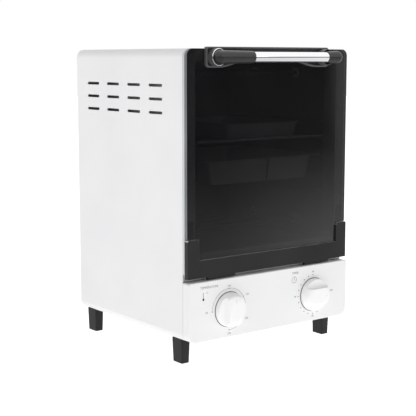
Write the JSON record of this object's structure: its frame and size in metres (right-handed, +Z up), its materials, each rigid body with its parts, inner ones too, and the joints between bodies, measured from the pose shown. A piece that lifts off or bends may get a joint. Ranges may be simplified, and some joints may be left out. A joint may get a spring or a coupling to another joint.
{
  "type": "benchtop dry-heat sterilizer",
  "caption": "Upright white benchtop sterilizer: dark drop-down glass door with a chrome bar handle, black bottom rail, two dial knobs on a white panel, vented sides and square feet",
  "frame": {"origin": "on the surface under the feet, below the centre of the overall footprint, with the door closed", "axes": "+Z up, +X to the right of someone facing the door, -Y towards them; the door faces -Y"},
  "size_m": [0.245, 0.2668, 0.361],
  "materials": {
    "cabinet_paint": "smooth semi-gloss white",
    "back_paint": "smooth grey-white",
    "frame_paint": "smooth light grey",
    "panel_plastic": "smooth white with printed dials",
    "knob_plastic": "smooth white",
    "door_glass": "clear tempered, dark in front of the chamber",
    "black_moulding": "satin black",
    "black_sleeve": "gloss black",
    "chrome_tube": "mirror polish",
    "foot_rubber": "matt dark grey",
    "gland_rubber": "matt black",
    "galvanised_steel": "dull zinc",
    "chamber_steel": "brushed stainless",
    "pan_aluminium": "satin",
    "tray_steel": "bright stainless",
    "rack_steel": "bright plated",
    "heater_steel": "heat-darkened",
    "ceramic": "unglazed ceramic",
    "hinge_steel": "zinc plated",
    "spring_steel": "oiled spring wire",
    "screw_steel": "plated",
    "switch_case": "pale ceramic and resin",
    "timer_case": "zinc",
    "shaft_brass": "turned",
    "bell_steel": "bright",
    "wire_sleeve": "glass-fibre sleeved"
  },
  "bodies": {
    "cabinet": {"outer_shell": "cabinet_paint", "base_plate": "galvanised_steel", "back_cover": "back_paint", "back_screws": "screw_steel", "foot_front_left": "foot_rubber", "foot_front_right": "foot_rubber", "foot_rear_left": "foot_rubber", "foot_rear_right": "foot_rubber", "foot_screws": "screw_steel", "front_frame": "frame_paint", "control_panel": "panel_plastic", "switch_plate": "galvanised_steel", "switch_plate_screws": "screw_steel", "chamber_wall_right": "chamber_steel", "chamber_wall_left": "chamber_steel", "chamber_back": "chamber_steel", "chamber_roof": "chamber_steel", "chamber_floor": "chamber_steel", "heater_upper_front": "heater_steel", "heater_upper_rear": "heater_steel", "heater_lower_front": "heater_steel", "heater_lower_rear": "heater_steel", "heater_insulators": "ceramic", "hinge_bracket_right": "hinge_steel", "hinge_bracket_left": "hinge_steel", "door_spring_right": "spring_steel", "door_spring_left": "spring_steel", "thermostat_body": "switch_case", "timer_body": "timer_case", "timer_bell": "bell_steel", "cord_gland": "gland_rubber", "terminal_block": "switch_case", "internal_wiring": "wire_sleeve"},
    "door": {"door_glass": "door_glass", "door_rail": "black_moulding", "hinge_pin_left": "hinge_steel", "hinge_pin_right": "hinge_steel", "link_rivet_left": "hinge_steel", "link_rivet_right": "hinge_steel", "handle_mount": "black_moulding", "handle_sleeve_left": "black_sleeve", "handle_sleeve_right": "black_sleeve", "handle_tube": "chrome_tube", "handle_screws": "screw_steel"},
    "link_left": {"door_link_left": "hinge_steel"},
    "link_right": {"door_link_right": "hinge_steel"},
    "rack": {"wire_rack": "rack_steel", "instrument_tray": "tray_steel"},
    "pan": {"drip_pan": "pan_aluminium"},
    "temperature_dial": {"temperature_knob": "knob_plastic", "thermostat_shaft": "shaft_brass"},
    "timer_dial": {"timer_knob": "knob_plastic", "timer_shaft": "shaft_brass"}
  },
  "joints": [
    {"name": "door_hinge", "type": "hinge", "parent": "cabinet", "child": "door", "pos_m": [0, -0.1084, 0.105], "axis": [1, 0, 0], "range_deg": [0, 90], "stiffness_Nm_per_rad": 0.25, "springref_deg": -34.38, "deforming": ["door_spring_left", "door_spring_right"]},
    {"name": "left_link_pivot", "type": "hinge", "parent": "door", "child": "link_left", "pos_m": [-0.11655, -0.1016, 0.146], "axis": [1, 0, 0], "range_deg": [-50, 0]},
    {"name": "right_link_pivot", "type": "hinge", "parent": "door", "child": "link_right", "pos_m": [0.11655, -0.1016, 0.146], "axis": [1, 0, 0], "range_deg": [-50, 0]},
    {"name": "rack_slide", "type": "slide", "parent": "cabinet", "child": "rack", "axis": [0, -1, 0], "range_m": [0, 0.101]},
    {"name": "pan_slide", "type": "slide", "parent": "cabinet", "child": "pan", "axis": [0, -1, 0], "range_m": [0, 0.051]},
    {"name": "temperature_knob_turn", "type": "hinge", "parent": "cabinet", "child": "temperature_dial", "pos_m": [-0.0655, -0.1226, 0.0622], "axis": [0, 1, 0], "range_deg": [-90, 180]},
    {"name": "timer_knob_turn", "type": "hinge", "parent": "cabinet", "child": "timer_dial", "pos_m": [0.0655, -0.1226, 0.0622], "axis": [0, 1, 0], "range_deg": [0, 270]}
  ],
  "couplings": [
    {"joint": "left_link_pivot", "follows": "door_hinge", "ratio": -0.518},
    {"joint": "right_link_pivot", "follows": "door_hinge", "ratio": -0.518},
    {"joint": "rack_slide", "follows": "door_hinge", "m_per_rad": 0.06366},
    {"joint": "pan_slide", "follows": "door_hinge", "m_per_rad": 0.03183}
  ]
}
